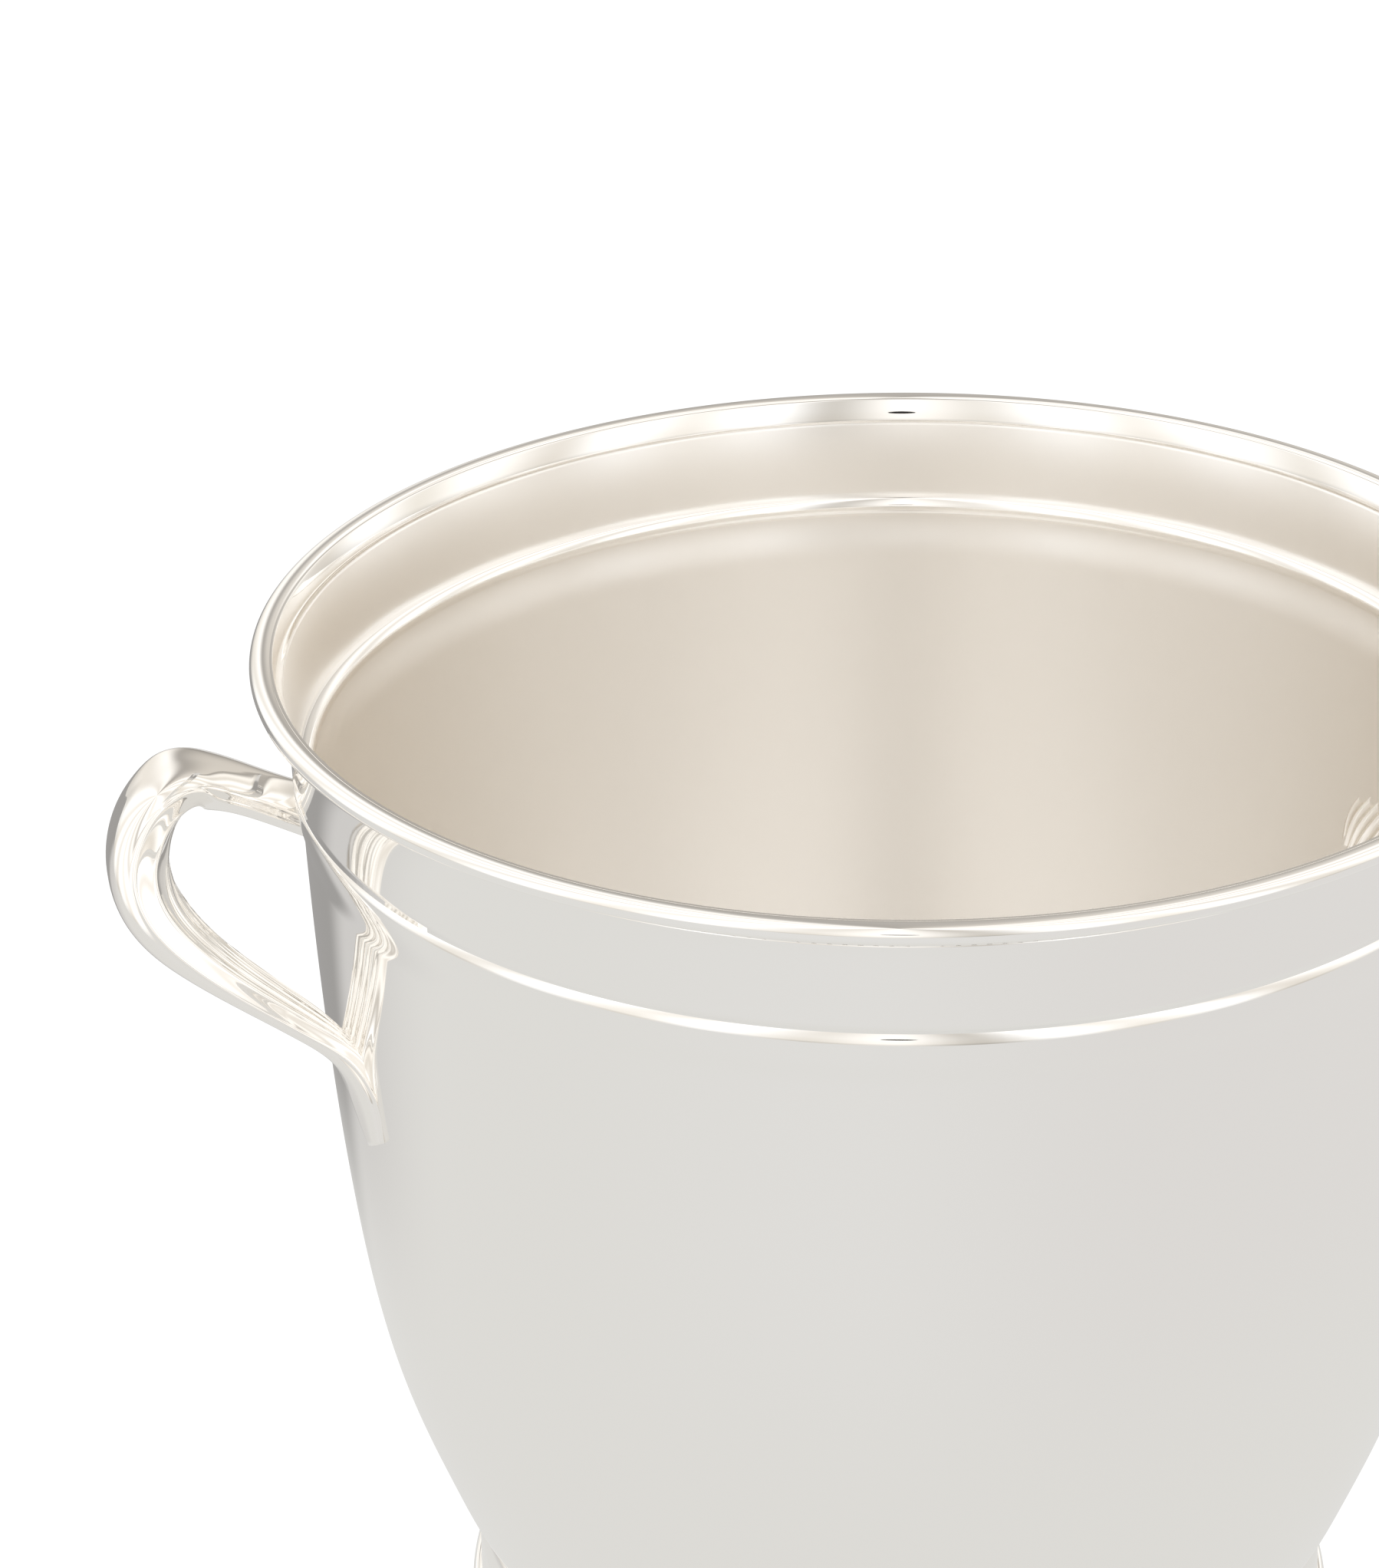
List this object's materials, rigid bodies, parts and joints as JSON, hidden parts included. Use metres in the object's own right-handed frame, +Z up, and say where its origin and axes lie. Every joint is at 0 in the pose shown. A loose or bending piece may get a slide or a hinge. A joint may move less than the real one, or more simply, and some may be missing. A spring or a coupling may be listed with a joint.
{
  "type": "champagne bucket",
  "caption": "Deep round silver wine cooler with a tapering bowl, a flared collar with a moulded rim, a low collet foot and reeded loop handles at its sides.",
  "frame": {"origin": "on the table, at the middle of the foot", "axes": "+Z up along the bucket's axis, X through the two handles, handle_left on the -X side"},
  "size_m": [0.258, 0.21, 0.192],
  "materials": {
    "spun_silver": "polished outside, satin inside, with fine hairlines",
    "drawn_silver": "bright polish",
    "cast_silver": "polished casting, greyer in its grooves"
  },
  "bodies": {
    "root": {"bowl": "spun_silver", "collar": "spun_silver", "rim_moulding": "drawn_silver", "inner_bead": "drawn_silver", "foot_ring": "spun_silver", "foot_wire": "drawn_silver", "handle_left": "cast_silver", "handle_right": "cast_silver"}
  },
  "joints": []
}
